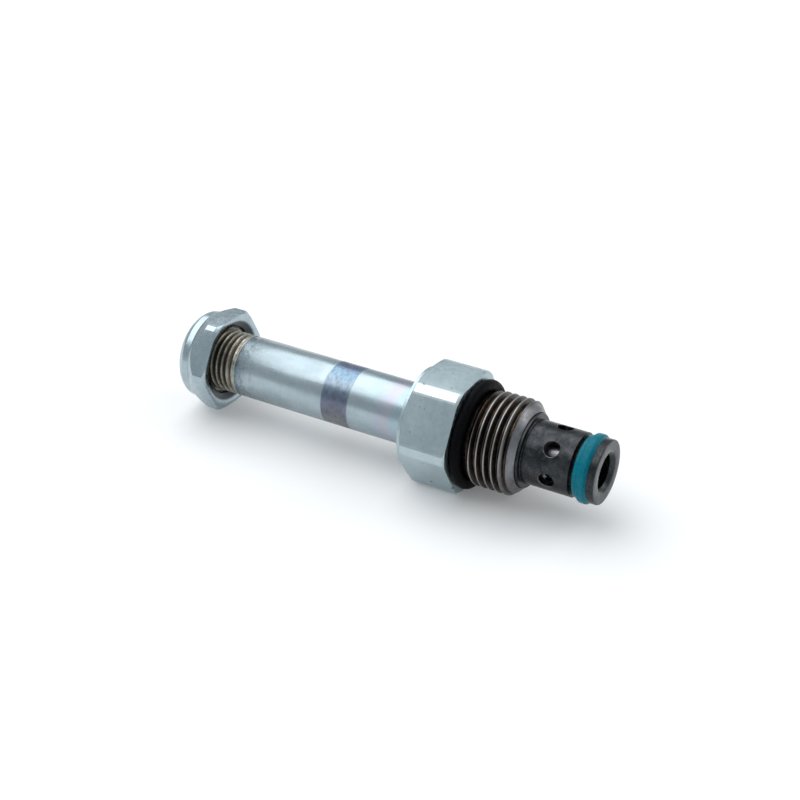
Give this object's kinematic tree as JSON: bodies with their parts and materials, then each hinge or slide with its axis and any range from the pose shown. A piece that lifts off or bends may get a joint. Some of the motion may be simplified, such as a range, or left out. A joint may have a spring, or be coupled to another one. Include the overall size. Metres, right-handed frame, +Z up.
{
  "type": "solenoid cartridge valve",
  "caption": "Screw-in hydraulic cartridge valve with hexagon adapter, solenoid guide tube, hexagon coil nut, ported cage, coloured nose seal and sliding poppet inside.",
  "frame": {"origin": "on the valve axis, in the plane of the hexagon face that seats on the manifold", "axes": "+X along the valve axis towards the nose; +Z up, with the valve lying on a flat of its hexagon"},
  "size_m": [0.0925, 0.0246, 0.0222],
  "materials": {
    "adapter_zinc": "zinc plated, satin",
    "tube_zinc": "zinc plated, bright satin",
    "nut_zinc": "zinc plated, bright",
    "heat_tinted_ring": "brazed ring with a blue and violet tint",
    "dark_oxide_steel": "dark oxide",
    "armature_steel": "ground",
    "hardened_steel": "ground and hardened",
    "spring_steel": "bright wire",
    "brass_shim": "satin",
    "polyurethane_seal": "semi-gloss polyurethane",
    "black_rubber": "satin",
    "white_backup": "matt",
    "nylon_ring": "matt"
  },
  "bodies": {
    "valve_body": {"hex_adapter": "adapter_zinc", "guide_tube": "tube_zinc", "isolation_ring": "heat_tinted_ring", "pole_piece": "tube_zinc", "residual_disc": "brass_shim", "return_spring": "spring_steel", "cage": "dark_oxide_steel", "cage_snap_ring": "spring_steel", "tube_snap_ring": "spring_steel", "nose_seal": "polyurethane_seal", "hex_o_ring": "black_rubber", "tube_o_ring": "black_rubber", "tube_backup_ring": "white_backup"},
    "armature": {"armature": "armature_steel", "pilot_pin": "hardened_steel", "link_pin": "hardened_steel"},
    "poppet": {"main_poppet": "hardened_steel", "pilot_jet": "brass_shim", "poppet_spring": "spring_steel"},
    "nut_carrier": {"nut_lock_ring": "nylon_ring"},
    "nut": {"coil_nut": "nut_zinc"}
  },
  "joints": [
    {"name": "armature_stroke", "type": "slide", "parent": "valve_body", "child": "armature", "axis": [-1, 0, 0], "range_m": [0, 0.0018], "stiffness_N_per_m": 800, "springref_m": -0.004, "deforming": ["return_spring"]},
    {"name": "poppet_lift", "type": "slide", "parent": "valve_body", "child": "poppet", "axis": [-1, 0, 0], "range_m": [0, 0.00145]},
    {"name": "nut_travel", "type": "slide", "parent": "valve_body", "child": "nut_carrier", "axis": [1, 0, 0], "range_m": [-0.0077, 0.004]},
    {"name": "nut_turn", "type": "hinge", "parent": "nut_carrier", "child": "nut", "pos_m": [-0.0603, 0, 0], "axis": [1, 0, 0], "range_deg": [-2160, 1130]}
  ],
  "couplings": [
    {"joint": "poppet_lift", "follows": "armature_stroke", "ratio": 0.8},
    {"joint": "nut_travel", "follows": "nut_turn", "m_per_rad": 0.00020213}
  ]
}
